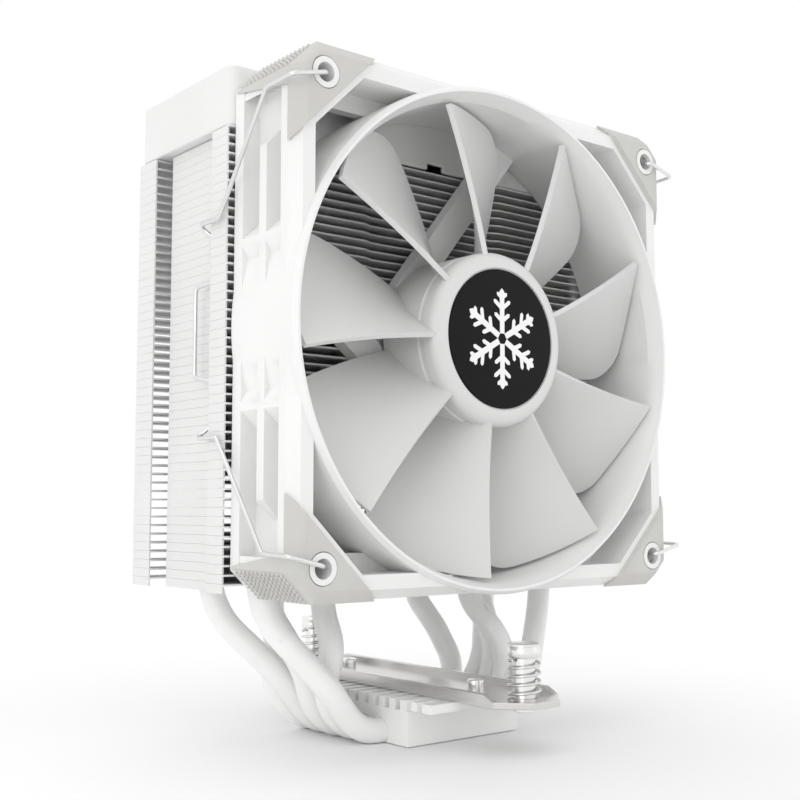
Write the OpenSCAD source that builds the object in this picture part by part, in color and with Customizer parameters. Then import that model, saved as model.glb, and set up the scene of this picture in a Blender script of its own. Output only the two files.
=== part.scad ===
// Tower heatsink with five U-shaped heat pipes, a stack of thin fins and a 120 mm clip-on fan.
// Origin: centre of the contact face under the base. +Z up, the fan faces -Y, X runs across the fins.
// All lengths are in millimetres.

/* [Fan] */
// Width and height of the square fan
fan_size = 120; // [119:0.5:121]
// Distance between the fan's corner holes
hole_spacing = 105; // [104:0.5:106]
// Front-to-back depth of the fan
fan_depth = 25; // [25:0.5:26]
// Number of impeller blades
blade_count = 9; // [5:1:11]
// Radius of the blade tips
blade_tip_r = 56.4; // [54:0.1:56.5]
// Radius of the impeller hub
hub_r = 21; // [20:0.5:22]

/* [Fin stack] */
// Width of the fin stack across the fan
stack_w = 122; // [121.6:0.2:124]
// Depth of the fin stack
stack_d = 43.5; // [42:0.5:48]
// Height of the lowest fin above the contact face
stack_z = 36.3; // [36:0.1:38]
// Number of fins
fin_count = 50; // [40:1:50]
// Distance from one fin to the next
fin_pitch = 2.09; // [2.05:0.01:2.1]
// Sheet thickness of a fin
fin_t = 0.4; // [0.3:0.1:0.6]

/* [Base and pipes] */
// Width of the base block along the pipes
base_w = 35.4; // [34:0.2:37]
// Length of the lower block across the pipes
base_l = 42.8; // [40:0.2:44]
// Length of the top flange across the pipes
flange_l = 59.2; // [56:0.2:62]
// Height of the whole base
base_h = 10.5; // [10:0.1:11]
// Outside diameter of a heat pipe
pipe_d = 6; // [5.8:0.1:6]
// Distance between pipes in the base
pipe_pitch = 6.05; // [6.05:0.05:6.2]

/* [Mounting] */
// Distance between the two spring screws
screw_spacing = 83.2; // [82:0.2:84]
// Width of the mounting bar
bar_w = 21; // [20:0.5:22]
// Diameter of the spring wire clips
clip_wire_d = 1; // [0.9:0.1:1.2]

/* [Hidden] */

gap = 0.02;                 // hair gap between pressed or soldered neighbours
round_fn = 96;              // facets of a drawn circle, a true circle once built
wire_fn = 32;

// Fan placement: fan coordinates are x right, y up, z towards the front, origin at the front face
fan_front = -36.6;
fan_z = 95;
hole_at = hole_spacing / 2;
half_fan = fan_size / 2;
stack_front = fan_front + fan_depth + 0.3;
stack_back = stack_front + stack_d;
stack_top = stack_z + fin_count * fin_pitch;
half_stack = stack_w / 2;

// Heat pipe ends in the fins: [x, y], with the place of each pipe in the base in the same order
pipe_tops = [[45.9, -1.9], [24, 4.1], [35.4, 11.1], [45.9, 20.8], [24, 26.7]];
pipe_r = pipe_d / 2;
pipe_row_y = 1;             // the pipes lie slightly behind the middle of the base
pipe_lift = 2.4;            // height of the pipe axis, so that the milled flat touches the processor
pipe_elbow_z = 30.5;        // height at which the slanted run meets the upright run
pipe_end_z = stack_top + 4.5;

// Side profile of a fin
front_strip_d = 7.7;        // flush strip behind the fan
panel_d = 23.5;             // recessed panel
notch_d = 3.8;              // open notch behind the panel
panel_inset = 2.6;
notch_inset = 6;
tab_start = 0.8;            // the folded tabs start this far behind the fin's front edge
middle_half = 20;           // the middle of the front edge is set back
middle_step = 1.2;

cover_h = 14;
cover_wall = 1.2;

// Frame of the fan
flange_half = 59.6;         // the flanges stay a little inside the full size, the duct reaches it
rim_r = half_fan - 0.7;
duct_r = 57.2;
mouth_depth = 4.2;          // the mouth narrows over this depth
flange_t = 5;
edge_cut = 2.2;             // sloped front edge of the flange
rib_t = 2.8;
rib_front = 12;
rear_flange_t = 3.5;
corner_cut = 6.9;
barrel_r = half_fan + 0.1;
facet_from = 14.6;          // the duct shows on each side up to here, and the facet ends there
facet_to = 17.2;
pocket_from = 19;
wall_t = 1.2;
lug_line = 97;              // the corner lugs lie beyond |x| + |y| of this
strip_at = 54.2;            // inner edge of the flange strips along the sides
boss_r = 3.4;
hole_r = 2.15;
pad_t = 1.4;
holder_r = 21;
holder_t = 2.6;
strut_w = 7;
strut_offset = 17.9;        // the struts pass the axis at this distance
strut_angle = 51;

// Motor
cup_front = 1.3;            // depth of the hub's front face
cup_back = 20.5;
cup_wall = 1.4;
cup_round = 2.8;            // rounding of the hub's front edge
yoke_r = hub_r - cup_wall - gap;
yoke_t = 1;
magnet_t = 1.8;
stator_r = 15.6;
tube_r = 4.6;
bearing_r = 3.2;
shaft_r = 1.5;
running_gap = 0.03;

// Mounting
bar_t = 1.5;
bar_z = base_h;
bar_flange_h = 3;
screw_y = screw_spacing / 2;
head_r = 3.9;
head_z = 21;
head_h = 3.3;
shank_r = 2.6;
shank_end_z = 9;
ring_z = 9.75;
ring_t = 0.55;
neck_r = 2;
socket_r = 1.25;
socket_depth = 9;
spring_r = 3.95;
spring_wire_r = 0.42;
spring_turns = 5;

// ---------------------------------------------------------------- helpers
function unit(v) = v / norm(v);
function elbow_angle(a, b, c) = acos(unit(b - a) * unit(c - b));

// A round bar from a to b
module rod(a, b, r) {
    d = b - a;
    len = norm(d);
    translate(a) rotate([0, acos(d[2] / len), atan2(d[1], d[0])])
        cylinder(r = r, h = len, $fn = wire_fn);
}

// A round bend of radius bend at corner b, between runs a-b and b-c
module elbow(a, b, c, bend, r) {
    turn = elbow_angle(a, b, c);
    u = unit(b - a);
    w = unit(c - b);
    side = unit(w - u * (u * w));
    axis = cross(u, side);
    start = b - u * bend * tan(turn / 2);
    // columns of the rotation: x points from the bend centre to the start, y along the run
    multmatrix([[-side[0], u[0], -axis[0], start[0] + side[0] * bend],
            [-side[1], u[1], -axis[1], start[1] + side[1] * bend],
            [-side[2], u[2], -axis[2], start[2] + side[2] * bend], [0, 0, 0, 1]])
        rotate_extrude(angle = turn, $fn = round_fn) translate([bend, 0]) circle(r = r, $fn = wire_fn);
}

// A rod along points p with every inner corner bent to its own radius. The bends are a hair
// fatter than the straights, which reach a little way into them.
bend_swell = 0.015;
bend_reach = 0.12;
module bent_rod(p, bends, r) {
    n = len(p);
    trims = [for (i = [0 : n - 1]) i == 0 || i == n - 1 ? 0 :
        bends[i - 1] * tan(elbow_angle(p[i - 1], p[i], p[i + 1]) / 2)];
    for (i = [0 : n - 2]) {
        u = unit(p[i + 1] - p[i]);
        rod(p[i] + u * (i == 0 ? 0 : trims[i] - bend_reach),
            p[i + 1] - u * (i == n - 2 ? 0 : trims[i + 1] - bend_reach), r);
    }
    for (i = [1 : n - 2]) elbow(p[i - 1], p[i], p[i + 1], bends[i - 1], r + bend_swell);
}

// Puts fan coordinates in place: z towards the front
module fan_space() translate([0, fan_front, fan_z]) rotate([90, 0, 0]) children();

// A plate between two depths behind the fan's front face
module slab(d1, d2) translate([0, 0, -d2]) linear_extrude(d2 - d1) children();

module tube_2d(outer, inner) difference() {
    circle(r = outer, $fn = round_fn);
    circle(r = inner, $fn = round_fn);
}

// Everything with |x| + |y| below d
module diamond(d) polygon([[d, 0], [0, d], [-d, 0], [0, -d]]);

module four_ways() for (i = [0 : 3]) rotate(90 * i) children();

// ---------------------------------------------------------------- base and pipes
function pipe_y(i) = pipe_row_y + (i - 2) * pipe_pitch;

// Outer pipes lean outwards from the base, inner pipes bulge out and lean back in.
// For each: how far out the lowest bend's corner lies, its radius, where the pipe starts to lean back,
// the radius of the bends there and at the top of the slanted run, and how much it leans before that.
pipe_shape = [[6.4, 12, 0.38, 20, 0], [15.6, 11, 0.68, 12, 0], [9.6, 12, 0.5, 13, 0],
    [6.4, 12, 0.38, 20, 0], [15.6, 11, 0.68, 12, 0.8]];

function pipe_half(i) = let (t = pipe_tops[i], k = base_w / 2 + pipe_shape[i][0], f = pipe_shape[i][2]) [
    [k, pipe_y(i), pipe_lift],
    [k + f * (t[0] - k), pipe_y(i) + f * pipe_shape[i][4] * (t[1] - pipe_y(i)),
        pipe_lift + f * (pipe_elbow_z - pipe_lift)],
    [t[0], t[1], pipe_elbow_z], [t[0], t[1], pipe_end_z]];

function pipe_points(i) = let (h = pipe_half(i))
    concat([for (j = [3 : -1 : 0]) [-h[j][0], h[j][1], h[j][2]]], h);

module heat_pipe(i) {
    color("white") intersection() {
        bent_rod(pipe_points(i), [pipe_shape[i][3], pipe_shape[i][3], pipe_shape[i][1],
            pipe_shape[i][1], pipe_shape[i][3], pipe_shape[i][3]], pipe_r);
        translate([-100, -100, 0]) cube([200, 200, 200]);
    }
}
module heat_pipe_1() heat_pipe(0);
module heat_pipe_2() heat_pipe(1);
module heat_pipe_3() heat_pipe(2);
module heat_pipe_4() heat_pipe(3);
module heat_pipe_5() heat_pipe(4);

slot_pitch = 4;
slot_w = 1.75;
slot_depth = 2.4;
slot_count = 14;
flange_t_base = 2.1;

module base_block() {
    color("white") difference() {
        union() {
            translate([-base_w / 2, -base_l / 2, 0]) cube([base_w, base_l, base_h]);
            translate([-base_w / 2, -flange_l / 2, base_h - flange_t_base])
                cube([base_w, flange_l, flange_t_base]);
        }
        for (i = [0 : slot_count - 1], side = [-1, 1])
            translate([side * (base_w / 4 + 5), (i - (slot_count - 1) / 2) * slot_pitch + 0.4,
                base_h - slot_depth / 2 + 0.5])
                cube([base_w / 2 - 3, slot_w, slot_depth + 1], center = true);
        for (i = [0 : 4]) translate([-base_w, pipe_y(i), pipe_lift]) rotate([0, 90, 0])
            cylinder(r = pipe_r + gap, h = 2 * base_w, $fn = round_fn);
        for (side = [-1, 1]) translate([0, side * rivet_y, 0])
            cylinder(r = rivet_r + gap, h = 2 * base_h, $fn = round_fn);
    }
}

// ---------------------------------------------------------------- fins and cover
// Outline of one fin's left half edge, from front to back
fin_edge = [[half_stack, 0], [half_stack, front_strip_d], [half_stack - panel_inset, front_strip_d],
    [half_stack - panel_inset, front_strip_d + panel_d],
    [half_stack - notch_inset, front_strip_d + panel_d],
    [half_stack - notch_inset, front_strip_d + panel_d + notch_d],
    [half_stack, front_strip_d + panel_d + notch_d], [half_stack, stack_d]];

module fin_outline() {
    front = [[middle_half, middle_step], [middle_half + 2.5, 0]];
    half = concat(front, fin_edge);
    n = len(half);
    polygon(concat(half, [for (i = [n - 1 : -1 : 0]) [-half[i][0], half[i][1]]]));
}

// A folded tab: a strip of sheet standing down from the fin's edge
module fin_tab(x, y1, y2) for (side = [-1, 1])
    translate([side * (x - fin_t / 2) - fin_t / 2, y1, fin_t - fin_pitch + 0.04])
        cube([fin_t, y2 - y1, fin_pitch - fin_t / 2 - 0.04]);

module fin() difference() {
    union() {
        linear_extrude(fin_t) fin_outline();
        fin_tab(half_stack, tab_start, front_strip_d);
        fin_tab(half_stack - panel_inset, front_strip_d, front_strip_d + panel_d);
        fin_tab(half_stack, front_strip_d + panel_d + notch_d, stack_d);
    }
    for (t = pipe_tops, side = [-1, 1])
        translate([side * t[0], t[1] - stack_front, -1]) cylinder(r = pipe_r + 0.1, h = 3, $fn = round_fn);
}

module fin_stack() color("white") for (i = [1 : fin_count])
    translate([0, stack_front, stack_z + i * fin_pitch - fin_t]) fin();

module rounded_rect(x1, x2, y1, y2, r) {
    translate([x1 + r, y1]) square([x2 - x1 - 2 * r, y2 - y1]);
    translate([x1, y1 + r]) square([x2 - x1, y2 - y1 - 2 * r]);
    for (x = [x1 + r, x2 - r], y = [y1 + r, y2 - r]) translate([x, y]) circle(r = r, $fn = round_fn);
}

module top_cover() {
    w = half_stack;
    slot_half = 2.6;
    lip_w = 7.5;
    // ledges inside the two ends, on which the cover rests
    color("white") for (side = [-1, 1])
        translate([side * (w - cover_wall / 2 - lip_w / 2), (stack_front + stack_back) / 2, stack_top + 0.7])
            cube([lip_w, stack_d - 2 * cover_wall, 1], center = true);
    color("white") difference() {
        translate([0, 0, stack_top + 0.2]) linear_extrude(cover_h)
            rounded_rect(-w, w, stack_front, stack_back, 3);
        translate([0, 0, stack_top]) linear_extrude(cover_h + 0.2 - cover_wall * 1.5)
            rounded_rect(-w + cover_wall, w - cover_wall, stack_front + cover_wall,
                stack_back - cover_wall, 2);
        translate([-slot_half, stack_front - 1, stack_top]) cube([2 * slot_half, 4, 1.8]);
    }
}

// ---------------------------------------------------------------- mounting bar and screws
bar_end = screw_y + 7.2;
bar_cut = 6.4;
rivet_y = 25.3;
rivet_r = 1.5;
rivet_seat = 1.5;           // how far the rivets reach into the base
rivet_head_r = 2;
rivet_head_h = 2.3;

function bar_outline(w, cut, e) = [[-w, -e + cut], [-w + cut, -e], [w - cut, -e], [w, -e + cut],
    [w, e - cut], [w - cut, e], [-w + cut, e], [-w, e - cut]];

module mounting_bar() {
    w = bar_w / 2;
    color("silver") difference() {
        union() {
            translate([0, 0, bar_z + gap]) linear_extrude(bar_t - gap)
                polygon(bar_outline(w, bar_cut, bar_end));
            for (side = [-1, 1]) translate([side * (w - bar_t / 2), 0, bar_z + bar_flange_h / 2 + gap / 2])
                cube([bar_t, 2 * (bar_end - bar_cut) - 1, bar_flange_h - gap], center = true);
        }
        for (side = [-1, 1]) {
            translate([0, side * screw_y, 0]) cylinder(r = shank_r + 0.15, h = 30, $fn = round_fn);
            translate([0, side * rivet_y, 0]) cylinder(r = rivet_r + gap, h = 30, $fn = round_fn);
            // sloped ends of the upturned flanges
            for (end = [-1, 1]) translate([side * w, end * (bar_end - bar_cut), bar_z + bar_flange_h + 0.6])
                rotate([end * -35, 0, 0]) cube([6, 6, 2.6], center = true);
        }
    }
}

// Two rivets hold the bar on the base
module bar_rivets() color("gainsboro") for (side = [-1, 1]) translate([0, side * rivet_y, 0]) {
    translate([0, 0, bar_z - rivet_seat])
        cylinder(r = rivet_r, h = rivet_seat + bar_t + 0.7, $fn = round_fn);
    translate([0, 0, bar_z + bar_t + gap]) cylinder(r = rivet_head_r, h = rivet_head_h, $fn = round_fn);
}

module spring_screw(side) {
    color("gainsboro") translate([0, side * screw_y, 0]) difference() {
        union() {
            translate([0, 0, head_z]) cylinder(r = head_r - 0.1, h = head_h, $fn = round_fn);
            translate([0, 0, ring_z + ring_t + 0.1])
                cylinder(r = shank_r, h = head_z - ring_z - ring_t, $fn = round_fn);
            translate([0, 0, shank_end_z]) cylinder(r = neck_r, h = 3, $fn = round_fn);
            translate([0, 0, shank_end_z])
                cylinder(r = shank_r, h = ring_z - 0.1 - shank_end_z, $fn = round_fn);
        }
        translate([0, 0, shank_end_z - 1])
            cylinder(r = socket_r, h = socket_depth + 1, $fn = round_fn);
        // cross recess for the screwdriver
        for (a = [0, 90]) rotate(a) translate([0, 0, head_z + head_h]) cube([4.4, 1, 3.6], center = true);
    }
}
module spring_screw_front() spring_screw(-1);
module spring_screw_rear() spring_screw(1);

// The split ring snaps into the screw's neck below the bar
module retaining_ring(side) color("gainsboro") translate([0, side * screw_y, ring_z])
    difference() {
        cylinder(r = 3.3, h = ring_t, $fn = round_fn);
        translate([0, 0, -1]) cylinder(r = neck_r + 0.05, h = 3, $fn = round_fn);
        translate([0, -0.8, -1]) cube([5, 1.6, 3]);
    }
module retaining_ring_front() retaining_ring(-1);
module retaining_ring_rear() retaining_ring(1);

// One coil spring swept as a small-sided wire
coil_sides = 6;
steps_per_turn = 14;
module screw_spring(side) {
    z1 = bar_z + bar_t + spring_wire_r + 0.1;
    z2 = head_z - spring_wire_r - 0.1;
    n = spring_turns * steps_per_turn;
    mean_r = spring_r - spring_wire_r;
    ring = function (k) let (a = 360 * k / steps_per_turn, z = z1 + (z2 - z1) * k / n)
        [for (j = [0 : coil_sides - 1]) let (b = 360 * j / coil_sides, r = mean_r + spring_wire_r * cos(b))
            [r * cos(a), r * sin(a), z + spring_wire_r * sin(b)]];
    points = [for (k = [0 : n], p = ring(k)) p];
    walls = [for (k = [0 : n - 1], j = [0 : coil_sides - 1]) let (m = (j + 1) % coil_sides)
        [k * coil_sides + j, k * coil_sides + m, (k + 1) * coil_sides + m, (k + 1) * coil_sides + j]];
    ends = [[for (j = [coil_sides - 1 : -1 : 0]) j], [for (j = [0 : coil_sides - 1]) n * coil_sides + j]];
    color("lightgray") translate([0, side * screw_y, 0]) polyhedron(points, concat(walls, ends));
}
module screw_spring_front() screw_spring(-1);
module screw_spring_rear() screw_spring(1);

// ---------------------------------------------------------------- fan
// Region of the four corners beyond a diagonal line, inside the cut corners
module corner_region(half, from, to) difference() {
    intersection() {
        square(2 * half, center = true);
        diamond(to);
    }
    diamond(from);
}

pad_line = 2 * half_fan - corner_cut;
frame_line = pad_line - 1.8;

module front_flange() difference() {
    intersection() {
        square(2 * flange_half, center = true);
        diamond(frame_line);
    }
    circle(r = duct_r + 1, $fn = round_fn);
    // open pockets between the ring and the corner lugs
    difference() {
        intersection() {
            square(2 * strip_at, center = true);
            diamond(lug_line - 1.5);
        }
        circle(r = barrel_r - 0.3, $fn = round_fn);
    }
}

module rear_flange() difference() {
    intersection() {
        square(2 * flange_half, center = true);
        diamond(pad_line);
    }
    circle(r = duct_r + 1, $fn = round_fn);
}

// Cuts the slope along the flange's four front edges
module front_slope() four_ways() translate([flange_half, 0, -pad_t]) rotate([0, 45, 0])
    cube([edge_cut * sqrt(2), 2 * half_fan, edge_cut * sqrt(2)], center = true);

// Ribs half way back on the four sides, with cut ends
module middle_ribs() difference() {
    rib_end = lug_line + 1;
    four_ways() polygon([[50, strip_at - rib_end], [strip_at, strip_at - rib_end],
        [flange_half, flange_half - rib_end], [flange_half, rib_end - flange_half],
        [strip_at, rib_end - strip_at], [50, rib_end - strip_at]]);
    circle(r = duct_r + 1, $fn = round_fn);
}

// Solid middle of each side, where the duct shows between two facets
module side_blocks() difference() {
    swell = sqrt(barrel_r * barrel_r - facet_from * facet_from);
    four_ways() polygon([[50, -pocket_from - 5], [strip_at, -pocket_from - 5], [flange_half, -pocket_from],
        [flange_half, -facet_to], [swell, -facet_from], [swell, facet_from], [flange_half, facet_to],
        [flange_half, pocket_from], [strip_at, pocket_from + 5], [50, pocket_from + 5]]);
    circle(r = duct_r + 1, $fn = round_fn);
}

// Thin walls round the corner recesses: a square one along the sides and a slanted one at each lug
module pocket_walls() difference() {
    intersection() {
        square(2 * strip_at + 2 * wall_t, center = true);
        diamond(frame_line);
        union() {
            corner_region(half_fan, lug_line - 1.5, lug_line);
            difference() {
                square(2 * half_fan, center = true);
                square(2 * strip_at, center = true);
            }
        }
    }
    circle(r = duct_r + 1, $fn = round_fn);
}

module rear_struts() four_ways() rotate(strut_angle) translate([0, strut_offset - strut_w / 2])
    square([58, strut_w]);

module duct_ring() rotate_extrude($fn = 180) polygon([[rim_r - 0.6, 0], [duct_r, -mouth_depth],
    [duct_r, -fan_depth], [barrel_r, -fan_depth], [barrel_r, -1.2], [rim_r, 0]]);

module fan_frame() {
    color("white") fan_space() difference() {
        union() {
            duct_ring();
            difference() {
                union() {
                    slab(pad_t, pad_t + flange_t) front_flange();
                    slab(pad_t + 0.5, fan_depth) side_blocks();
                }
                front_slope();
            }
            slab(fan_depth - rear_flange_t, fan_depth) rear_flange();
            slab(rib_front, rib_front + rib_t) middle_ribs();
            slab(pad_t, fan_depth) pocket_walls();
            // wall under each rubber corner
            slab(pad_t, fan_depth) corner_region(half_fan - 0.6, frame_line - 1.6, frame_line);
            four_ways() translate([hole_at, hole_at]) slab(0, fan_depth) circle(r = boss_r, $fn = round_fn);
            slab(fan_depth - holder_t, fan_depth) circle(r = holder_r, $fn = round_fn);
            slab(fan_depth - 4, fan_depth) intersection() {
                rear_struts();
                tube_2d(duct_r + 1, strut_offset);
            }
        }
        four_ways() translate([hole_at, hole_at, -fan_depth - 1])
            cylinder(r = hole_r, h = fan_depth + 2, $fn = round_fn);
        translate([0, 0, -fan_depth - 1]) cylinder(r = tube_r + gap, h = holder_t + 2, $fn = round_fn);
        // shallow round recess for the rear label
        slab(fan_depth - 0.4, fan_depth + 1) circle(r = 18, $fn = round_fn);
    }
}

// Rubber corner: a front plate, a lip and a wrap along the cut corner
module corner_pad(sx, sy) {
    inner_gap = 0.05;
    color([0.8, 0.79, 0.77]) fan_space() intersection() {
        difference() {
            union() {
                slab(0, pad_t - inner_gap) corner_region(half_fan, lug_line, pad_line);
                slab(0, fan_depth - rear_flange_t - 0.1)
                    corner_region(half_fan - 0.65, frame_line + inner_gap, pad_line);
            }
            translate([sx * hole_at, sy * hole_at, -fan_depth])
                cylinder(r = boss_r + inner_gap, h = fan_depth + 1, $fn = round_fn);
        }
        translate([sx > 0 ? 0 : -100, sy > 0 ? 0 : -100, -50]) cube([100, 100, 100]);
    }
}
module corner_pad_top_left() corner_pad(-1, 1);
module corner_pad_top_right() corner_pad(1, 1);
module corner_pad_bottom_left() corner_pad(-1, -1);
module corner_pad_bottom_right() corner_pad(1, -1);

// ---------------------------------------------------------------- impeller and motor
blade_rows = 6;
blade_cols = 5;
blade_t = 1.3;
blade_front = 2.2;
lead_hub = -97.5;
lead_tip = -93.4;
chord_hub = 34;
chord_tip = 30;
blade_depth_hub = 16.8;
blade_depth_tip = 14.5;
blade_camber = 1.2;

// A point of a blade: f runs from hub to tip, s from the leading to the trailing edge, w is the side
function blade_point(f, s, w) = let (
        r = hub_r - 1 + f * (blade_tip_r - hub_r + 1),
        a = lead_hub + f * (lead_tip - lead_hub) - s * (chord_hub + f * (chord_tip - chord_hub)),
        d = blade_front + s * (blade_depth_hub + f * (blade_depth_tip - blade_depth_hub))
            + blade_camber * sin(180 * s),
        t = blade_t * (0.35 + 0.65 * sin(180 * min(1, s * 0.8 + 0.1))))
    [r * cos(a), r * sin(a), -d + w * t / 2];

module blade() {
    n = blade_cols + 1;
    m = blade_rows + 1;
    side = function (w) [for (i = [0 : blade_rows], j = [0 : blade_cols])
        blade_point(i / blade_rows, j / blade_cols, w)];
    front = side(1);
    back = side(-1);
    k = n * m;
    skin = [for (i = [0 : blade_rows - 1], j = [0 : blade_cols - 1]) let (a = i * n + j)
        each [[a, a + 1, a + n], [a + 1, a + n + 1, a + n],
            [k + a, k + a + n, k + a + 1], [k + a + 1, k + a + n, k + a + n + 1]]];
    hub_tip = [for (j = [0 : blade_cols - 1]) let (b = blade_rows * n + j)
        each [[j, k + j, j + 1], [k + j, k + j + 1, j + 1],
            [b, b + 1, k + b], [k + b, b + 1, k + b + 1]]];
    edges = [for (i = [0 : blade_rows - 1]) let (a = i * n, b = i * n + blade_cols)
        each [[a, a + n, k + a], [k + a, a + n, k + a + n],
            [b, k + b, b + n], [k + b, k + b + n, b + n]]];
    polyhedron(concat(front, back), [for (f = concat(skin, hub_tip, edges)) [f[0], f[2], f[1]]]);
}

module hub_cup() rotate_extrude($fn = 120) polygon(concat(
    [[0, -cup_front - 1.2], [0, -cup_front - 0.4], [17, -cup_front - 0.4], [17, -cup_front],
        [hub_r - cup_round, -cup_front]],
    [for (a = [90 : -18 : 0]) [hub_r - cup_round * (1 - cos(a)), -cup_front - cup_round * (1 - sin(a))]],
    [[hub_r, -cup_back], [hub_r - cup_wall, -cup_back], [hub_r - cup_wall, -cup_front - 3],
        [shaft_r + 2, -cup_front - 3], [shaft_r + 2, -cup_front - 6], [0, -cup_front - 6]]));

module impeller() {
    color("white") fan_space() difference() {
        union() {
            hub_cup();
            for (i = [0 : blade_count - 1]) rotate(360 * i / blade_count) blade();
        }
        translate([0, 0, -cup_front - 7]) cylinder(r = shaft_r + gap, h = 5, $fn = round_fn);
        translate([0, 0, -cup_back])
            cylinder(r = hub_r - cup_wall, h = cup_back - cup_front - 6.5, $fn = round_fn);
    }
}

module hub_badge() color([0.05, 0.05, 0.05]) fan_space()
    slab(cup_front, cup_front + 0.38) circle(r = 16.7, $fn = round_fn);

module rotor_yoke() color("gray") fan_space()
    slab(cup_front + 6.6, cup_back - 0.6) tube_2d(yoke_r - 0.05, yoke_r - yoke_t);

module rotor_magnet() color([0.2, 0.2, 0.2]) fan_space()
    slab(cup_front + 7, cup_back - 1) tube_2d(yoke_r - yoke_t - gap, yoke_r - yoke_t - magnet_t);

shaft_back = fan_depth - 1.2;
module rotor_shaft() color("silver") fan_space() difference() {
    slab(cup_front + 2.2, shaft_back) circle(r = shaft_r, $fn = round_fn);
    // groove for the lock washer
    slab(shaft_back - 1.2, shaft_back - 0.7) tube_2d(3, shaft_r - 0.3);
}

module shaft_lock_washer() color("ivory") fan_space()
    slab(shaft_back - 1.15, shaft_back - 0.75) tube_2d(2.6, shaft_r - 0.25);

bearing_front = cup_front + 7;
bearing_back = shaft_back - 1.6;
module sleeve_bearing() color("goldenrod") fan_space()
    slab(bearing_front, bearing_back) tube_2d(bearing_r - gap, shaft_r + running_gap);

module bearing_tube() color("goldenrod") fan_space() {
    slab(bearing_front - 0.5, fan_depth - 0.5) tube_2d(tube_r, bearing_r);
    slab(fan_depth - 0.9, fan_depth - 0.45) circle(r = bearing_r + 0.5, $fn = round_fn);
}

module stator_core() color("dimgray") fan_space() slab(bearing_front + 2, bearing_front + 8) union() {
    tube_2d(7, tube_r + gap);
    four_ways() translate([6, -1.6]) square([8, 3.2]);
    difference() {
        tube_2d(stator_r, stator_r - 1.6);
        four_ways() rotate(45) translate([stator_r - 4, -1]) square([6, 2]);
    }
}

module stator_coils() color("peru") fan_space() four_ways() difference() {
    translate([7.6, -3.4, -bearing_front - 9]) cube([5.8, 6.8, 8]);
    translate([7, -1.75, -bearing_front - 8.1]) cube([8, 3.5, 6.2]);
}

module motor_circuit_board() color("darkgreen") fan_space()
    slab(bearing_back - 1.7, bearing_back - 0.7) tube_2d(17, tube_r + gap);

module rear_label() color("whitesmoke") fan_space()
    slab(fan_depth - 0.38, fan_depth - 0.02) circle(r = 17.6, $fn = round_fn);

// ---------------------------------------------------------------- wire clips
clip_out = half_stack + 1.1;       // the wire runs this far from the middle along the sides
clip_groove_x = half_stack - 1.5;  // and lies in the recess of the fins here
clip_groove_y = stack_front + front_strip_d + 1.7;
clip_front = fan_front - 1.3;
clip_arm_z = 24.5;                 // height of the arms' ends above and below the fan's axis
clip_hook = [hole_at + 0.4, fan_front + 2.2, hole_at - 0.5];

// Upper half of the left clip, from the hook in the fan's corner hole to the handle
clip_half = [[-clip_hook[0], clip_hook[1], clip_hook[2]],
    [-clip_hook[0], clip_front, clip_hook[2]],
    [-clip_out + 0.3, clip_front, hole_at - 2.8],
    [-clip_out, fan_front + 8.5, hole_at - 3.2],
    [-clip_out, stack_front + 2.4, clip_arm_z],
    [-clip_out, stack_front + front_strip_d + 3.6, clip_arm_z],
    [-clip_groove_x, clip_groove_y, clip_arm_z - 2.6],
    [-clip_groove_x, clip_groove_y, 11.4],
    [-half_stack - 0.2, clip_groove_y + 4.4, 10.4]];
clip_bends = [1.3, 1.3, 1.6, 1.4, 1.2, 1.2, 1.2];

module wire_clip_left() {
    n = len(clip_half);
    points = concat(clip_half,
        [for (i = [n - 1 : -1 : 0]) [clip_half[i][0], clip_half[i][1], -clip_half[i][2]]]);
    bends = concat(clip_bends, [1.2, 1.2], [for (i = [len(clip_bends) - 1 : -1 : 0]) clip_bends[i]]);
    color("silver") translate([0, 0, fan_z]) bent_rod(points, bends, clip_wire_d / 2);
}
module wire_clip_right() mirror([1, 0, 0]) wire_clip_left();

base_block();
heat_pipe_1();
heat_pipe_2();
heat_pipe_3();
heat_pipe_4();
heat_pipe_5();
fin_stack();
top_cover();
mounting_bar();
bar_rivets();
spring_screw_front();
spring_screw_rear();
screw_spring_front();
screw_spring_rear();
retaining_ring_front();
retaining_ring_rear();
fan_frame();
corner_pad_top_left();
corner_pad_top_right();
corner_pad_bottom_left();
corner_pad_bottom_right();
impeller();
hub_badge();
rotor_yoke();
rotor_magnet();
rotor_shaft();
shaft_lock_washer();
sleeve_bearing();
bearing_tube();
stator_core();
stator_coils();
motor_circuit_board();
rear_label();
wire_clip_left();
wire_clip_right();
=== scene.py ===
"""Looks of a white tower cooler with a clip-on 120 mm fan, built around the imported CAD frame."""

import math

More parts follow.
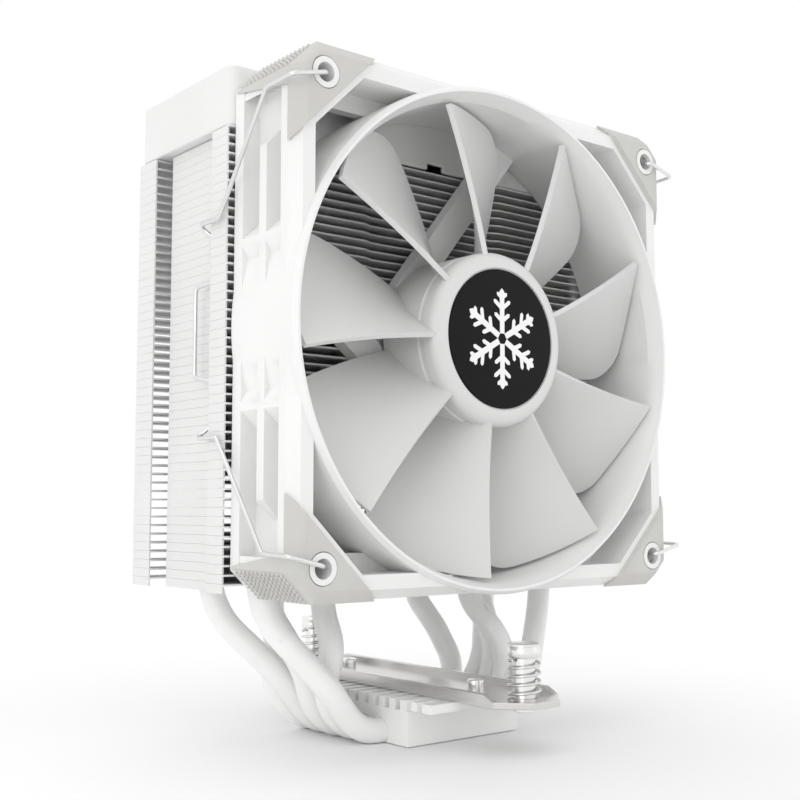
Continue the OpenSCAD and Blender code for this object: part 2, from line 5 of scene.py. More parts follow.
import bmesh
import bpy
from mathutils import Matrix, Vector


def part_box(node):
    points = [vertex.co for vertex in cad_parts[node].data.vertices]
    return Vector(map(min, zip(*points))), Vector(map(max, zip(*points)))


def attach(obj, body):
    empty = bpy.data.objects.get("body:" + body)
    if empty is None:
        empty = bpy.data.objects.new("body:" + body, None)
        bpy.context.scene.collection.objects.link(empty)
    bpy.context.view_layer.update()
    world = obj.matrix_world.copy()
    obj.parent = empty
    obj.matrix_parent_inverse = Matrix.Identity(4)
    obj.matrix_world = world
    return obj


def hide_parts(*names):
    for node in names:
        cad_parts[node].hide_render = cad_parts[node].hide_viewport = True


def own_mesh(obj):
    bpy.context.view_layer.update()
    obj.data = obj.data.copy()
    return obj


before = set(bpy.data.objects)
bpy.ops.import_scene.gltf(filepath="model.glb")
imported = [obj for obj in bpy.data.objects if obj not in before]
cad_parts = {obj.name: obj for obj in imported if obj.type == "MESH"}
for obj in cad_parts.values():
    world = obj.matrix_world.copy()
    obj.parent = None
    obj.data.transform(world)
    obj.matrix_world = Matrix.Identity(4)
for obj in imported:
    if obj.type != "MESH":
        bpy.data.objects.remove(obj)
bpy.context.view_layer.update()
scene = bpy.context.scene
MM = 0.001

# ---------------------------------------------------------------- places taken from the frame
fan_low, fan_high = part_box("fan_frame")
FAN_CENTRE = Vector(((fan_low.x + fan_high.x) / 2, fan_low.y, (fan_low.z + fan_high.z) / 2))


def fan_point(x, up, depth):
    """A point given in millimetres on the fan: right, up, and back from its front face."""
    return FAN_CENTRE + Vector((x, depth, up)) * MM


def millimetre_point(x, y, z):
    """A point given in millimetres in the frame's own axes."""
    return Vector((x, y, z)) * MM


# ---------------------------------------------------------------- materials
BROAD_SCALE = 35        # noise scale of the faint colour variation
GRAIN_SCALE = 4000      # noise scale of the fine surface grain
NOISE_DETAIL = 4
GRAIN_DEPTH = 0.05      # mm


def new_material(name, colour, roughness, metallic=0.0, coat=0.0):
    material = bpy.data.materials.new(name)
    material.use_nodes = True
    shader = material.node_tree.nodes["Principled BSDF"]
    shader.inputs["Base Color"].default_value = (*colour, 1)
    shader.inputs["Roughness"].default_value = roughness
    shader.inputs["Metallic"].default_value = metallic
    shader.inputs["Coat Weight"].default_value = coat
    return material, shader


def add_noise(material, scale):
    nodes, links = material.node_tree.nodes, material.node_tree.links
    where = nodes.new("ShaderNodeTexCoord")
    noise = nodes.new("ShaderNodeTexNoise")
    noise.inputs["Scale"].default_value = scale
    noise.inputs["Detail"].default_value = NOISE_DETAIL
    links.new(where.outputs["Object"], noise.inputs["Vector"])
    return noise


def vary_colour(material, shader, noise, low, high):
    nodes, links = material.node_tree.nodes, material.node_tree.links
    ramp = nodes.new("ShaderNodeValToRGB")
    ramp.color_ramp.elements[0].position = 0.3
    ramp.color_ramp.elements[0].color = (*low, 1)
    ramp.color_ramp.elements[1].position = 0.7
    ramp.color_ramp.elements[1].color = (*high, 1)
    links.new(noise.outputs["Fac"], ramp.inputs["Fac"])
    links.new(ramp.outputs["Color"], shader.inputs["Base Color"])


def vary_roughness(material, shader, noise, low, high):
    nodes, links = material.node_tree.nodes, material.node_tree.links
    spread = nodes.new("ShaderNodeMapRange")
    spread.inputs["To Min"].default_value = low
    spread.inputs["To Max"].default_value = high
    links.new(noise.outputs["Fac"], spread.inputs["Value"])
    links.new(spread.outputs["Result"], shader.inputs["Roughness"])


def add_bump(material, shader, noise, strength):
    nodes, links = material.node_tree.nodes, material.node_tree.links
    bump = nodes.new("ShaderNodeBump")
    bump.inputs["Strength"].default_value = strength
    bump.inputs["Distance"].default_value = GRAIN_DEPTH * MM
    links.new(noise.outputs["Fac"], bump.inputs["Height"])
    links.new(bump.outputs["Normal"], shader.inputs["Normal"])


def finish_material(name, low, high, roughness, metallic=0.0, coat=0.0, grain=0.08, specular=0.5):
    """Broad, faint colour variation, a fine surface grain and a little spread in the gloss."""
    material, shader = new_material(name, high, roughness[0], metallic, coat)
    shader.inputs["Specular IOR Level"].default_value = specular
    broad = add_noise(material, BROAD_SCALE)
    fine = add_noise(material, GRAIN_SCALE)
    vary_colour(material, shader, broad, low, high)
    vary_roughness(material, shader, fine, *roughness)
    add_bump(material, shader, fine, grain)
    return material


# each has its darker colour, its lighter colour, and its lowest and highest roughness
MATERIALS = {
    "plastic": finish_material(
        "white_moulded_plastic", (0.80, 0.80, 0.795), (0.83, 0.83, 0.825), (0.32, 0.44)),
    "blade": finish_material(
        "white_blade_plastic", (0.655, 0.655, 0.65), (0.685, 0.685, 0.68), (0.34, 0.44)),
    "paint": finish_material(
        "white_paint", (0.88, 0.88, 0.875), (0.92, 0.92, 0.915), (0.26, 0.36), coat=0.3),
    "cover": finish_material(
        "white_cover_plastic", (0.75, 0.75, 0.745), (0.78, 0.78, 0.775), (0.36, 0.48)),
    "fin": finish_material(
        "white_coated_sheet", (0.72, 0.72, 0.715), (0.76, 0.76, 0.755), (0.35, 0.5)),
    "pad": finish_material(
        "grey_rubber", (0.55, 0.545, 0.52), (0.59, 0.585, 0.56), (0.6, 0.75), grain=0.2),
    "steel": finish_material(
        "plated_steel", (0.80, 0.80, 0.79), (0.88, 0.88, 0.87), (0.16, 0.26), metallic=1.0),
    "bar": finish_material(
        "brushed_plate", (0.64, 0.63, 0.62), (0.72, 0.71, 0.70), (0.20, 0.30), metallic=1.0),
    "wire": finish_material(
        "spring_wire", (0.72, 0.72, 0.72), (0.80, 0.80, 0.80), (0.12, 0.22), metallic=1.0),
    "black": finish_material(
        "black_foil", (0.004, 0.004, 0.005), (0.007, 0.007, 0.008), (0.3, 0.4), specular=0.12),
    "white_print": finish_material(
        "white_print", (0.84, 0.84, 0.84), (0.88, 0.88, 0.88), (0.35, 0.42)),
    "dark_steel": finish_material(
        "dark_steel", (0.20, 0.20, 0.21), (0.28, 0.28, 0.29), (0.35, 0.5), metallic=1.0),
    "ferrite": finish_material(
        "bonded_ferrite", (0.03, 0.028, 0.028), (0.05, 0.047, 0.045), (0.5, 0.65)),
    "bronze": finish_material(
        "bronze", (0.45, 0.28, 0.10), (0.55, 0.35, 0.14), (0.3, 0.42), metallic=1.0),
    "copper": finish_material(
        "enamelled_copper", (0.45, 0.16, 0.06), (0.55, 0.22, 0.09), (0.22, 0.32), metallic=0.8),
    "board": finish_material(
        "solder_mask", (0.015, 0.10, 0.04), (0.025, 0.14, 0.06), (0.3, 0.4)),
    "nylon": finish_material(
        "natural_nylon", (0.68, 0.66, 0.58), (0.74, 0.72, 0.65), (0.4, 0.5)),
    "label": finish_material(
        "printed_film", (0.80, 0.80, 0.80), (0.84, 0.84, 0.84), (0.3, 0.38)),
}

NODE_MATERIALS = {
    "base_block": "paint", "fin_stack": "fin", "top_cover": "plastic", "mounting_bar": "bar",
    "bar_rivets": "steel", "spring_screw_front": "steel", "spring_screw_rear": "steel",
    "screw_spring_front": "steel", "screw_spring_rear": "steel",
    "retaining_ring_front": "dark_steel", "retaining_ring_rear": "dark_steel",
    "fan_frame": "plastic", "impeller": "blade", "hub_badge": "black", "rotor_yoke": "dark_steel",
    "rotor_magnet": "ferrite", "rotor_shaft": "steel", "shaft_lock_washer": "nylon",
    "sleeve_bearing": "bronze", "bearing_tube": "bronze", "stator_core": "dark_steel",
    "stator_coils": "copper", "motor_circuit_board": "board", "rear_label": "label",
    "wire_clip_left": "wire", "wire_clip_right": "wire",
}


def paint(obj, material):
    obj.data.materials.clear()
    obj.data.materials.append(MATERIALS[material])


for node_name, node_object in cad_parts.items():
    if node_name.startswith("heat_pipe"):
        paint(node_object, "paint")
    elif node_name.startswith("corner_pad"):
        paint(node_object, "pad")
    else:
        paint(node_object, NODE_MATERIALS[node_name])

# ---------------------------------------------------------------- piece helpers
ROUND = 128             # segments round a turned piece
FLAT_ANGLE = 0.4        # degrees: CAD facets flatter than this become one face


def make_piece(shape, name, material, body, nodes=(), sharp=30):
    """Turns a bmesh into an object that rides on a body and stands for CAD nodes."""
    mesh = bpy.data.meshes.new(name)
    bmesh.ops.recalc_face_normals(shape, faces=shape.faces)
    shape.to_mesh(mesh)
    shape.free()
    mesh.shade_smooth()
    mesh.set_sharp_from_angle(angle=math.radians(sharp))
    mesh.materials.append(MATERIALS[material])
    piece = bpy.data.objects.new(name, mesh)
    scene.collection.objects.link(piece)
    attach(piece, body)
    if nodes:
        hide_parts(*nodes)
    return piece


def round_edges(piece, width, segments=2, angle=30):
    bevel = piece.modifiers.new("round_edges", "BEVEL")
    bevel.width = width * MM
    bevel.segments = segments
    bevel.limit_method = "ANGLE"
    bevel.angle_limit = math.radians(angle)
    bevel.harden_normals = True


def soften_node(node, name, material, width, segments=2, merge=0.002):
    """The same shape as a fixed CAD node, with clean faces and rounded edges.

    Points closer together than merge, in millimetres, become one.
    """
    shape = bmesh.new()
    shape.from_mesh(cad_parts[node].data)
    bmesh.ops.remove_doubles(shape, verts=shape.verts, dist=merge * MM)
    flat = math.radians(FLAT_ANGLE)
    bmesh.ops.dissolve_limit(shape, angle_limit=flat, verts=shape.verts, edges=shape.edges)
    piece = make_piece(shape, name, material, "cooler", [node])
    if width:
        round_edges(piece, width, segments)
    return piece


def circle_points(x, y, radius, count=48):
    turns = [2 * math.pi * k / count for k in range(count)]
    return [(x + radius * math.cos(a), y + radius * math.sin(a)) for a in turns]


def arc(centre, radius, start, end, steps):
    """Points of a profile's rounding, in degrees."""
    angles = [math.radians(start + (end - start) * k / steps) for k in range(steps + 1)]
    return [(centre[0] + radius * math.cos(a), centre[1] + radius * math.sin(a)) for a in angles]


def join_loops(shape, first, second):
    """Joins two loops with faces. One of the two may be a single point."""
    count = max(len(first), len(second))
    for k in range(count):
        after = (k + 1) % count
        if len(first) == 1:
            shape.faces.new((first[0], second[after], second[k]))
        elif len(second) == 1:
            shape.faces.new((first[k], first[after], second[0]))
        else:
            shape.faces.new((first[k], first[after], second[after], second[k]))


def add_loops(shape, place, outlines):
    """Draws (outline, level) pairs as loops, each joined to the next, and returns the loops."""
    loops = []
    for outline, level in outlines:
        loops.append([shape.verts.new(place(x, y, level)) for x, y in outline])
    for first, second in zip(loops, loops[1:]):
        join_loops(shape, first, second)
    return loops


def fill_between(shape, *loops):
    """Fills the flat area inside the first loop and outside the others."""
    edges = []
    for loop in loops:
        for k in range(len(loop)):
            edges.append(shape.edges.get((loop[k], loop[(k + 1) % len(loop)])))
    bmesh.ops.triangle_fill(shape, edges=edges, use_beauty=True)


def lathe(place, profile, segments=ROUND):
    """Turns a profile of (radius, height) points round an axis. place(x, y, height) gives the point."""
    shape = bmesh.new()
    rings = [(circle_points(0, 0, radius, segments if radius else 1), height)
             for radius, height in profile]
    add_loops(shape, place, rings)
    return shape


# ---------------------------------------------------------------- parts whose shape is the CAD's
CORNER_DEPTH = 1.6      # the ends of the corner walls that the rubber covers lie in front of this
CORNER_FROM = 108       # and beyond this, with their sideways and upward distances added together
CORNER_LIMIT = 57.4     # how far they may reach sideways or upward under the rubber's slope


def slope_corners(piece):
    """Draws the frame's hidden corner walls in under the sloped rubber."""
    for vertex in piece.data.vertices:
        place = (vertex.co - FAN_CENTRE) / MM
        if place.y < CORNER_DEPTH and abs(place.x) + abs(place.z) > CORNER_FROM:
            vertex.co.x -= math.copysign(max(abs(place.x) - CORNER_LIMIT, 0), place.x) * MM
            vertex.co.z -= math.copysign(max(abs(place.z) - CORNER_LIMIT, 0), place.z) * MM


slope_corners(soften_node("fan_frame", "fan_frame_moulding", "plastic", 0.25))
soften_node("top_cover", "cover_moulding", "cover", 0.5, 3)
soften_node("base_block", "base_painted", "paint", 0.25)
for number in range(1, 6):
    soften_node(f"heat_pipe_{number}", f"pipe_{number}_coated", "paint", 0, merge=0.25)

# ---------------------------------------------------------------- impeller
HUB_R = 21
TIP_R = 56.4
BLADE_COUNT = 9
LEAD_HUB, LEAD_TIP = -97.5, -93.4       # degrees: where the leading edge is at the hub and the tip
CHORD_HUB, CHORD_TIP = 34, 31           # degrees round the axis from edge to edge
BLADE_FRONT = 2.2
DEPTH_HUB, DEPTH_TIP = 16.8, 14.5
CAMBER = 1.2
BLADE_T = 1.3
BLADE_EDGE = 0.3
BLADE_ROOT = HUB_R - 0.8                # the blades start inside the hub's wall
BLADE_COLUMNS = 22
STRAIGHT_ROWS, ROUND_ROWS = 20, 10
TIP_ROUND = 9
TIP_STRETCH = 1.04                      # the tip's length along its chord, compared with its arc
CUP_FRONT, CUP_BACK = 1.3, 20.5
CUP_ROUND = 2.8
CUP_WALL = 1.4
CUP_FACE = CUP_FRONT + 3                # the inner side of the hub's front wall
GROOVE_FRONT, GROOVE_BACK = 5.6, 7.7
GROOVE_DEEP, GROOVE_SLOPE = 0.45, 0.3
BOSS_R, BOSS_BACK = 3.5, CUP_FRONT + 6
SHAFT_R = 1.55
BADGE_R = 17


def blade_place(radius, along, turn):
    """A point of a blade's middle surface: along runs from its leading to its trailing edge."""
    out = (radius - HUB_R) / (TIP_R - HUB_R)
    chord = CHORD_HUB + out * (CHORD_TIP - CHORD_HUB)
    angle = math.radians(LEAD_HUB + out * (LEAD_TIP - LEAD_HUB) - along * chord + turn)
    depth = BLADE_FRONT + along * (DEPTH_HUB + out * (DEPTH_TIP - DEPTH_HUB))
    depth += CAMBER * math.sin(math.pi * along)
    return fan_point(radius * math.cos(angle), radius * math.sin(angle), depth)


def trailing_end(radius):
    """Where the blade ends along its chord: its outer trailing corner is rounded."""
    inside = TIP_ROUND - (TIP_R - radius)
    if inside <= 0:
        return 1
    missing = TIP_ROUND - math.sqrt(TIP_ROUND ** 2 - inside ** 2)
    return 1 - missing / (math.radians(CHORD_TIP) * TIP_R * TIP_STRETCH)


def blade_radii():
    """Rows from the root to the tip, closer together along the rounded corner."""
    round_from = TIP_R - TIP_ROUND
    radii = [BLADE_ROOT + (round_from - BLADE_ROOT) * k / STRAIGHT_ROWS for k in range(STRAIGHT_ROWS)]
    steps = [math.pi / 2 * k / ROUND_ROWS for k in range(ROUND_ROWS + 1)]
    return radii + [round_from + TIP_ROUND * math.sin(a) for a in steps]


def add_blade(number):
    shape = bmesh.new()
    turn = 360 * number / BLADE_COUNT
    rows = []
    for radius in blade_radii():
        end = trailing_end(radius)
        spots = [blade_place(radius, end * k / BLADE_COLUMNS, turn) for k in range(BLADE_COLUMNS + 1)]
        rows.append([shape.verts.new(spot) for spot in spots])
    for low, high in zip(rows, rows[1:]):
        for k in range(BLADE_COLUMNS):
            shape.faces.new((low[k], low[k + 1], high[k + 1], high[k]))
    piece = make_piece(shape, f"blade_{number + 1}", "blade", "rotor", sharp=60)
    thickness = piece.modifiers.new("thickness", "SOLIDIFY")
    thickness.thickness = BLADE_T * MM
    thickness.offset = 0
    thickness.use_even_offset = True
    round_edges(piece, BLADE_EDGE, angle=50)


def add_hub():
    """A cup with a rounded shoulder, a groove round its wall and a recess for the badge."""
    recess = CUP_FRONT + 0.4
    groove_r = HUB_R - GROOVE_DEEP
    inside = HUB_R - CUP_WALL
    profile = [(0, recess), (BADGE_R, recess), (BADGE_R, CUP_FRONT + 0.12), (BADGE_R + 0.12, CUP_FRONT)]
    profile += arc((HUB_R - CUP_ROUND, CUP_FRONT + CUP_ROUND), CUP_ROUND, -90, 0, 10)
    profile += [(HUB_R, GROOVE_FRONT), (groove_r, GROOVE_FRONT + GROOVE_SLOPE)]
    profile += [(groove_r, GROOVE_BACK - GROOVE_SLOPE), (HUB_R, GROOVE_BACK)]
    profile += [(HUB_R, CUP_BACK - 0.2), (HUB_R - 0.2, CUP_BACK), (inside, CUP_BACK), (inside, CUP_FACE)]
    profile += [(BOSS_R, CUP_FACE), (BOSS_R, BOSS_BACK), (SHAFT_R, BOSS_BACK)]
    profile += [(SHAFT_R, CUP_FRONT + 2), (0, CUP_FRONT + 2)]
    make_piece(lathe(fan_point, profile), "hub_cup", "blade", "rotor", ["impeller"], sharp=25)


for number in range(BLADE_COUNT):
    add_blade(number)
add_hub()

# ---------------------------------------------------------------- hub badge and its plain snowflake
DISC_R = 16.7
DISC_BACK = CUP_FRONT + 0.38
PRINT_FRONT = 0.08      # how far the print stands proud of the badge
PRINT_BACK = 0.05
PRINT_STEP = 0.015      # the branches stand about this much lower than the arms
ARM_COUNT = 6
ARM_FROM, ARM_TO, ARM_HALF = 1.25, 11.4, 0.72
BRANCHES = ((4.2, 2.6), (7.2, 2.9), (9.8, 1.6))     # distance along the arm, length
BRANCH_HALF = 0.5
BRANCH_ALONG, BRANCH_ACROSS = 0.6, 0.8


def add_badge():
    profile = [(0, DISC_BACK), (DISC_R, DISC_BACK), (DISC_R, CUP_FRONT + 0.2)]
    profile += [(DISC_R - 0.2, CUP_FRONT), (0, CUP_FRONT)]
    make_piece(lathe(fan_point, profile), "badge_disc", "black", "rotor", ["hub_badge"])


def add_printed_bar(shape, start, end, half, front):
    """A flat printed bar with a pointed end between two points on the badge."""
    along = (end - start).normalized()
    across = Vector((-along.y, along.x)) * half
    outline = [start + across, end + across, end + along * half, end - across, start - across]
    near, far = add_loops(shape, fan_point, [(outline, CUP_FRONT - front), (outline, CUP_FRONT + PRINT_BACK)])
    shape.faces.new(near)
    shape.faces.new(far)


def add_snowflake():
    """Six arms with slanted branches. Prints that cross lie at slightly different depths."""
    shape = bmesh.new()
    for number in range(ARM_COUNT):
        angle = math.radians(360 / ARM_COUNT * number + 30)
        along = Vector((math.cos(angle), math.sin(angle)))
        across = Vector((-along.y, along.x))
        add_printed_bar(shape, along * ARM_FROM, along * ARM_TO, ARM_HALF, PRINT_FRONT)
        for reach, length in BRANCHES:
            for side in (-1, 1):
                tip = along * (reach + length * BRANCH_ALONG) + across * side * length * BRANCH_ACROSS
                front = PRINT_FRONT - PRINT_STEP * (1 + side * 0.3)
                add_printed_bar(shape, along * reach, tip, BRANCH_HALF, front)
    make_piece(shape, "badge_snowflake", "white_print", "rotor")


add_badge()
add_snowflake()

# ---------------------------------------------------------------- springs and spring screws
SPRING_TURNS = 4.5
CLOSED_TURNS = 0.3
SPRING_WIRE_R = 0.34
TURN_STEPS, WIRE_SIDES = 36, 10
HEAD_R, HEAD_H = 3.8, 3.3
SHANK_R, NECK_R = 2.6, 2
NECK_LOW, NECK_HIGH = 9.65, 10.4
BORE_R, BORE_TOP = 1.25, 18
CROSS_LONG, CROSS_WIDE, CROSS_DEEP = 2.2, 0.5, 1.6
CROSS_TAPER = 0.8


def add_spring(side):
    """A round wire coil with nearly closed ends."""
    low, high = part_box(f"screw_spring_{side}")
    centre = (low + high) / 2
    outer = (high.x - low.x) / 2 / MM
    wire = SPRING_WIRE_R
    height = (high.z - low.z) / MM - 2 * wire
    closed_pitch = 2 * wire + 0.03
    open_turns = SPRING_TURNS - 2 * CLOSED_TURNS
    open_pitch = (height - 2 * CLOSED_TURNS * closed_pitch) / open_turns
    foot = Vector((centre.x, centre.y, low.z + wire * MM))
    shape = bmesh.new()
    rings = []
    for k in range(round(SPRING_TURNS * TURN_STEPS) + 1):
        turn = k / TURN_STEPS
        angle = 2 * math.pi * turn
        open_part = min(max(turn - CLOSED_TURNS, 0), open_turns)
        up = (turn - open_part) * closed_pitch + open_part * open_pitch
        ring = []
        for radius, rise in circle_points(outer - wire, up, wire, WIRE_SIDES):
            spot = Vector((radius * math.cos(angle), radius * math.sin(angle), rise))
            ring.append(shape.verts.new(foot + spot * MM))
        rings.append(ring)
    for first, second in zip(rings, rings[1:]):
        join_loops(shape, first, second)
    shape.faces.new(rings[0])
    shape.faces.new(rings[-1])
    piece = make_piece(shape, f"spring_{side}_wire", "wire", "cooler", [f"screw_spring_{side}"], sharp=50)
    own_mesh(piece)


def cross_outline():
    """The twelve corners of the cross recess."""
    outline = []
    for turn in range(4):
        for x, y in ((CROSS_LONG, -CROSS_WIDE), (CROSS_LONG, CROSS_WIDE), (CROSS_WIDE, CROSS_WIDE)):
            for _ in range(turn):
                x, y = -y, x
            outline.append((x, y))
    return outline


def add_screw(side):
    """A turned spring screw with a rimmed, slightly bulging head and a cross recess."""
    low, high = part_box(f"spring_screw_{side}")
    centre = (low + high) / 2
    bottom, top = low.z / MM, high.z / MM

    def place(x, y, height):
        return Vector((centre.x, centre.y, 0)) + Vector((x, y, height)) * MM

    profile = [(HEAD_R - 0.25, top), (HEAD_R, top - 0.12), (HEAD_R, top - 0.4), (HEAD_R - 0.35, top - 0.6)]
    profile += [(HEAD_R - 0.15, top - 1), (HEAD_R - 0.05, top - 1.6), (HEAD_R - 0.05, top - 2.2)]
    profile += [(HEAD_R - 0.15, top - 2.8), (HEAD_R - 0.5, top - HEAD_H), (SHANK_R, top - HEAD_H)]
    profile += [(SHANK_R, NECK_HIGH), (NECK_R, NECK_HIGH), (NECK_R, NECK_LOW), (SHANK_R, NECK_LOW)]
    profile += [(SHANK_R, bottom + 0.15), (SHANK_R - 0.15, bottom), (BORE_R, bottom)]
    profile += [(BORE_R, BORE_TOP), (0, BORE_TOP)]
    shape = lathe(place, profile, 64)
    rim = [edge for edge in shape.edges if edge.is_boundary]
    cross = cross_outline()
    floor_cross = [(x * CROSS_TAPER, y * CROSS_TAPER) for x, y in cross]
    upper, lower = add_loops(shape, place, [(cross, top), (floor_cross, top - CROSS_DEEP)])
    shape.faces.new(lower)
    rim += [shape.edges.get((upper[k], upper[(k + 1) % len(upper)])) for k in range(len(upper))]
    bmesh.ops.triangle_fill(shape, edges=rim, use_beauty=True)
    make_piece(shape, f"screw_{side}_plated", "steel", f"screw_{side}", [f"spring_screw_{side}"], sharp=35)


for side in ("front", "rear"):
    add_screw(side)
    add_spring(side)

# ---------------------------------------------------------------- mounting bar and rivets
BAR_T = 1.48
BAR_CUT = 6.4           # how far the plate's corners are cut
BAR_EDGE = 0.18         # its chamfer
BAR_HOLE_R = 2.75
SCREW_Y = 41.6
FLANGE_SLOPE = 3.2
FLANGE_GAP = 0.1        # the flanges start this far inside the plate
FLANGE_PROUD = 0.01     # and stand this far out of its sides
RIVET_HEAD = 2.3
RIVET_STEP = 0.5        # the shank is this much thinner than the head
RIVET_ROUND = 0.35

bar_low, bar_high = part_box("mounting_bar")
rivet_low, rivet_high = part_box("bar_rivets")
RIVET_R = (rivet_high.x - rivet_low.x) / 2 / MM
RIVET_Y = rivet_high.y / MM - RIVET_R


def cut_rectangle(half_width, half_length, cut):
    w, e = half_width, half_length
    return [(-w, -e + cut), (-w + cut, -e), (w - cut, -e), (w, -e + cut),
            (w, e - cut), (w - cut, e), (-w + cut, e), (-w, e - cut)]


def add_bar_plate():
    """A flat plate with cut corners, two holes and a small chamfer on every edge."""
    half, end, bottom = bar_high.x / MM, bar_high.y / MM, bar_low.z / MM
    shape = bmesh.new()
    levels = ((BAR_EDGE, bottom), (0, bottom + BAR_EDGE),
              (0, bottom + BAR_T - BAR_EDGE), (BAR_EDGE, bottom + BAR_T))
    plate = [(cut_rectangle(half - inset, end - inset, BAR_CUT - inset * (2 - math.sqrt(2))), height)
             for inset, height in levels]
    walls = [add_loops(shape, millimetre_point, plate)]
    for y in (-SCREW_Y, SCREW_Y):
        hole = [(circle_points(0, y, BAR_HOLE_R + inset), height) for inset, height in levels]
        walls.append(add_loops(shape, millimetre_point, hole))
    fill_between(shape, *[wall[0] for wall in walls])
    fill_between(shape, *[wall[-1] for wall in walls])
    make_piece(shape, "bar_plate", "bar", "cooler", ["mounting_bar"])


def add_bar_flange(name, side):
    """An upturned flange along one side of the plate, with sloped ends."""
    half, bottom, top = bar_high.x / MM, bar_low.z / MM, bar_high.z / MM
    end = bar_high.y / MM - BAR_CUT
    foot, bend = bottom + FLANGE_GAP, bottom + BAR_T
    section = [(FLANGE_GAP - end, foot), (end - FLANGE_GAP, foot), (end - FLANGE_GAP, bend),
               (end - FLANGE_SLOPE, top), (FLANGE_SLOPE - end, top), (FLANGE_GAP - end, bend)]
    shape = bmesh.new()
    sides = [(section, side * (half - BAR_T)), (section, side * (half + FLANGE_PROUD))]
    near, far = add_loops(shape, lambda y, z, x: millimetre_point(x, y, z), sides)
    shape.faces.new(near)
    shape.faces.new(far)
    round_edges(make_piece(shape, name, "bar", "cooler"), 0.3, 3)


def add_rivet(name, middle, nodes):
    """A rivet with a rounded head and a small dimple in it."""
    top, low = rivet_high.z / MM, rivet_low.z / MM
    shoulder = RIVET_R - RIVET_ROUND
    profile = [(0, top - 0.5), (0.5, top - 0.35), (0.8, top), (shoulder, top)]
    profile += arc((shoulder, top - RIVET_ROUND), RIVET_ROUND, 90, 0, 4)
    profile += [(RIVET_R, top - RIVET_HEAD), (RIVET_R - RIVET_STEP, top - RIVET_HEAD)]
    profile += [(RIVET_R - RIVET_STEP, low), (0, low)]
    shape = lathe(lambda x, y, height: millimetre_point(x, middle + y, height), profile, 48)
    make_piece(shape, name, "steel", "cooler", nodes)


add_bar_plate()
add_bar_flange("bar_flange_left", -1)
add_bar_flange("bar_flange_right", 1)
add_rivet("rivet_front", -RIVET_Y, ["bar_rivets"])
add_rivet("rivet_rear", RIVET_Y, [])

# ---------------------------------------------------------------- rubber corners
FAN_HALF = 60
CUT_AT = 53.1           # the outer corner is cut between (60, 53.1) and (53.1, 60)
LUG_LINE = 97           # the pad's inner edge lies where x + up is this
HOLE_AT = 52.5
PAD_HOLE_R = 3.55
PAD_T = 3.5
PAD_EDGE = 2.9          # width and depth of the slope round the plate
CUT_EDGE = 0.55         # the slope is narrower along the cut corner
WRAP_FROM, WRAP_TO = 3.1, 24.1
WRAP_WALL = 1
STRIP_FRONT, STRIP_REAR = 49.3, 52.6
KNURL_FROM = 4.2
KNURL_COLUMNS, KNURL_ROWS = 12, 8
KNURL_MARGIN = 0.3
BEAD_LONG, BEAD_SHORT, BEAD_PROUD = 0.72, 0.42, 0.62
BEAD_SUNK = 0.08
BEAD_SLANT = math.radians(38)
BEAD_SIDES, BEAD_LAYERS = 10, 4


def pad_outline(inset, lip):
    """Outline of the front plate, drawn in from its outer edges and from its inner edge."""
    edge = FAN_HALF - inset
    cut = FAN_HALF + CUT_AT - inset * CUT_EDGE * math.sqrt(2)
    inner = LUG_LINE + lip * math.sqrt(2)
    return [(edge, inner - edge), (edge, cut - edge), (cut - edge, edge), (inner - edge, edge)]


def add_pad_plate(name, place, node):
    """The flat front of a rubber corner, with sloped outer edges and an eyelet."""
    shape = bmesh.new()
    edge = PAD_EDGE
    rounding = ((edge + 0.15, 0.6, 0), (edge - 0.1, 0.5, 0.1), (0.15, 0, edge - 0.1),
                (0, 0, edge + 0.1), (0, 0, PAD_T))
    plate = add_loops(shape, place, [(pad_outline(inset, lip), depth) for inset, lip, depth in rounding])
    eyelet = ((PAD_HOLE_R + 0.15, 0), (PAD_HOLE_R, 0.15), (PAD_HOLE_R, PAD_T))
    hole = add_loops(shape, place, [(circle_points(HOLE_AT, HOLE_AT, r), depth) for r, depth in eyelet])
    fill_between(shape, plate[0], hole[0])
    fill_between(shape, plate[-1], hole[-1])
    make_piece(shape, name, "pad", "cooler", [node], sharp=35)


def add_pad_wrap(name, place):
    """The strip that runs back round the frame's corner, just inside the plate's outline.

    It narrows towards the rear.
    """
    side, cut, back = FAN_HALF - 0.03, CUT_AT - 0.02, FAN_HALF - WRAP_WALL
    sections = []
    for depth, strip in ((WRAP_FROM, STRIP_FRONT), (4, STRIP_FRONT), (WRAP_TO, STRIP_REAR)):
        outer = [(side, strip), (side, cut), (cut, side), (strip, side)]
        inner = [(back, strip), (back, cut - 0.4), (cut - 0.4, back), (strip, back)]
        sections.append((outer + inner[::-1], depth))
    shape = bmesh.new()
    loops = add_loops(shape, place, sections)
    for loop in (loops[0], loops[-1]):
        for k in range(3):
            shape.faces.new((loop[k], loop[k + 1], loop[6 - k], loop[7 - k]))
    round_edges(make_piece(shape, name, "pad", "cooler"), 0.12)


def add_bead(shape, place, across, back):
    """One slanted bead on the cut corner: across it, and back from the fan's front."""
    loops = []
    for layer in range(BEAD_LAYERS + 1):
        rise = math.pi / 2 * layer / BEAD_LAYERS
        size, height = math.cos(rise), math.sin(rise) * BEAD_PROUD - BEAD_SUNK
        loop = []
        for x, y in circle_points(0, 0, size, BEAD_SIDES if layer < BEAD_LAYERS else 1):
            u, v = BEAD_LONG * x, BEAD_SHORT * y
            sideways = across + u * math.cos(BEAD_SLANT) - v * math.sin(BEAD_SLANT)
            behind = back + u * math.sin(BEAD_SLANT) + v * math.cos(BEAD_SLANT)
            right = FAN_HALF + (height - sideways) / math.sqrt(2)
            up = CUT_AT + (height + sideways) / math.sqrt(2)
            loop.append(shape.verts.new(place(right, up, behind)))
        loops.append(loop)
    shape.faces.new(loops[0])
    for first, second in zip(loops, loops[1:]):
        join_loops(shape, first, second)


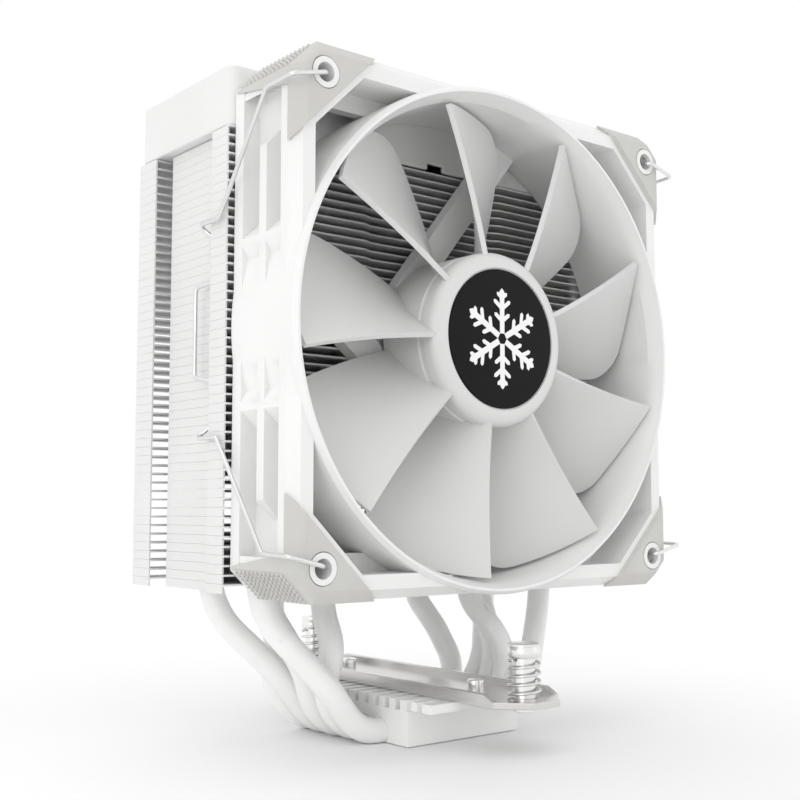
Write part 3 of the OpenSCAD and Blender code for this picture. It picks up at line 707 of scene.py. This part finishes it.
def add_knurl(name, place):
    """Rope-like rows of small slanted beads across the cut corner."""
    shape = bmesh.new()
    length = (FAN_HALF - CUT_AT) * math.sqrt(2)
    pitch_across = (length - 2 * KNURL_MARGIN) / KNURL_ROWS
    pitch_back = (WRAP_TO - 2 * KNURL_MARGIN - KNURL_FROM) / KNURL_COLUMNS
    for column in range(KNURL_COLUMNS):
        for row in range(KNURL_ROWS):
            across = KNURL_MARGIN + (row + 0.5) * pitch_across
            add_bead(shape, place, across, KNURL_FROM + (column + 0.5) * pitch_back)
    make_piece(shape, name, "pad", "cooler", sharp=70)


def add_pad(name, sx, sy, node):
    """A rubber corner, drawn for the upper right one and mirrored by sx and sy."""
    def place(x, up, depth):
        return fan_point(sx * x, sy * up, depth)

    add_pad_plate(name, place, node)
    add_pad_wrap(f"{name}_wrap", place)
    add_knurl(f"{name}_grip", place)


for word_up, sy in (("top", 1), ("bottom", -1)):
    for word_side, sx in (("left", -1), ("right", 1)):
        add_pad(f"rubber_{word_up}_{word_side}", sx, sy, f"corner_pad_{word_up}_{word_side}")

# ---------------------------------------------------------------- camera, floor and light
CAMERA_PLACE = (-0.1941, -0.2361, 0.0554)
CAMERA_UP, CAMERA_TURN = 5.13, -39.04       # degrees above level, and round from the fan's axis
CAMERA_LENS, CAMERA_SENSOR = 53.13, 36
FLOOR_HALF = 4
FLOOR_GAP = 0.2
FLOOR_COLOUR = (0.94, 0.94, 0.94)


def add_camera():
    data = bpy.data.cameras.new("camera")
    data.lens = CAMERA_LENS
    data.sensor_width = CAMERA_SENSOR
    data.clip_start = 0.01
    camera = bpy.data.objects.new("camera", data)
    camera.location = CAMERA_PLACE
    camera.rotation_euler = (math.radians(90 + CAMERA_UP), 0, math.radians(CAMERA_TURN))
    scene.collection.objects.link(camera)
    scene.camera = camera


def add_floor():
    mesh = bpy.data.meshes.new("floor")
    half = FLOOR_HALF
    corners = [(-half, -half, 0), (half, -half, 0), (half, half, 0), (-half, half, 0)]
    mesh.from_pydata(corners, [], [(0, 1, 2, 3)])
    floor = bpy.data.objects.new("floor", mesh)
    floor.location.z = -FLOOR_GAP * MM
    scene.collection.objects.link(floor)
    material, shader = new_material("pale_floor", FLOOR_COLOUR, 0.6)
    vary_roughness(material, shader, add_noise(material, 300), 0.55, 0.65)
    mesh.materials.append(material)


def add_light(name, kind, power):
    light = bpy.data.objects.new(name, bpy.data.lights.new(name, kind))
    light.data.energy = power
    scene.collection.objects.link(light)
    return light


def add_area_light(name, place, target, size, power):
    light = add_light(name, "AREA", power)
    light.data.shape = "SQUARE"
    light.data.size = size
    light.location = place
    light.rotation_euler = (Vector(target) - Vector(place)).to_track_quat("-Z", "Y").to_euler()


def add_sun(power, spread, tilt):
    """A broad, weak light from above, which spreads over an angle in degrees."""
    light = add_light("sun", "SUN", power)
    light.data.angle = math.radians(spread)
    light.rotation_euler = (math.radians(tilt[0]), math.radians(tilt[1]), 0)


def add_world(strength):
    world = bpy.data.worlds.new("studio")
    world.use_nodes = True
    background = world.node_tree.nodes["Background"]
    background.inputs["Color"].default_value = (1, 1, 1, 1)
    background.inputs["Strength"].default_value = strength
    scene.world = world


add_camera()
add_floor()
add_world(1.0)
add_area_light("key", (-0.85, -0.4, 0.2), (0, 0, 0.06), 0.5, 1.15)
add_area_light("fill", (0.8, -0.8, 0.4), (0, 0, 0.08), 0.8, 0.3)
add_sun(0.3, 70, (-10, -20))
scene.view_settings.view_transform = "Standard"
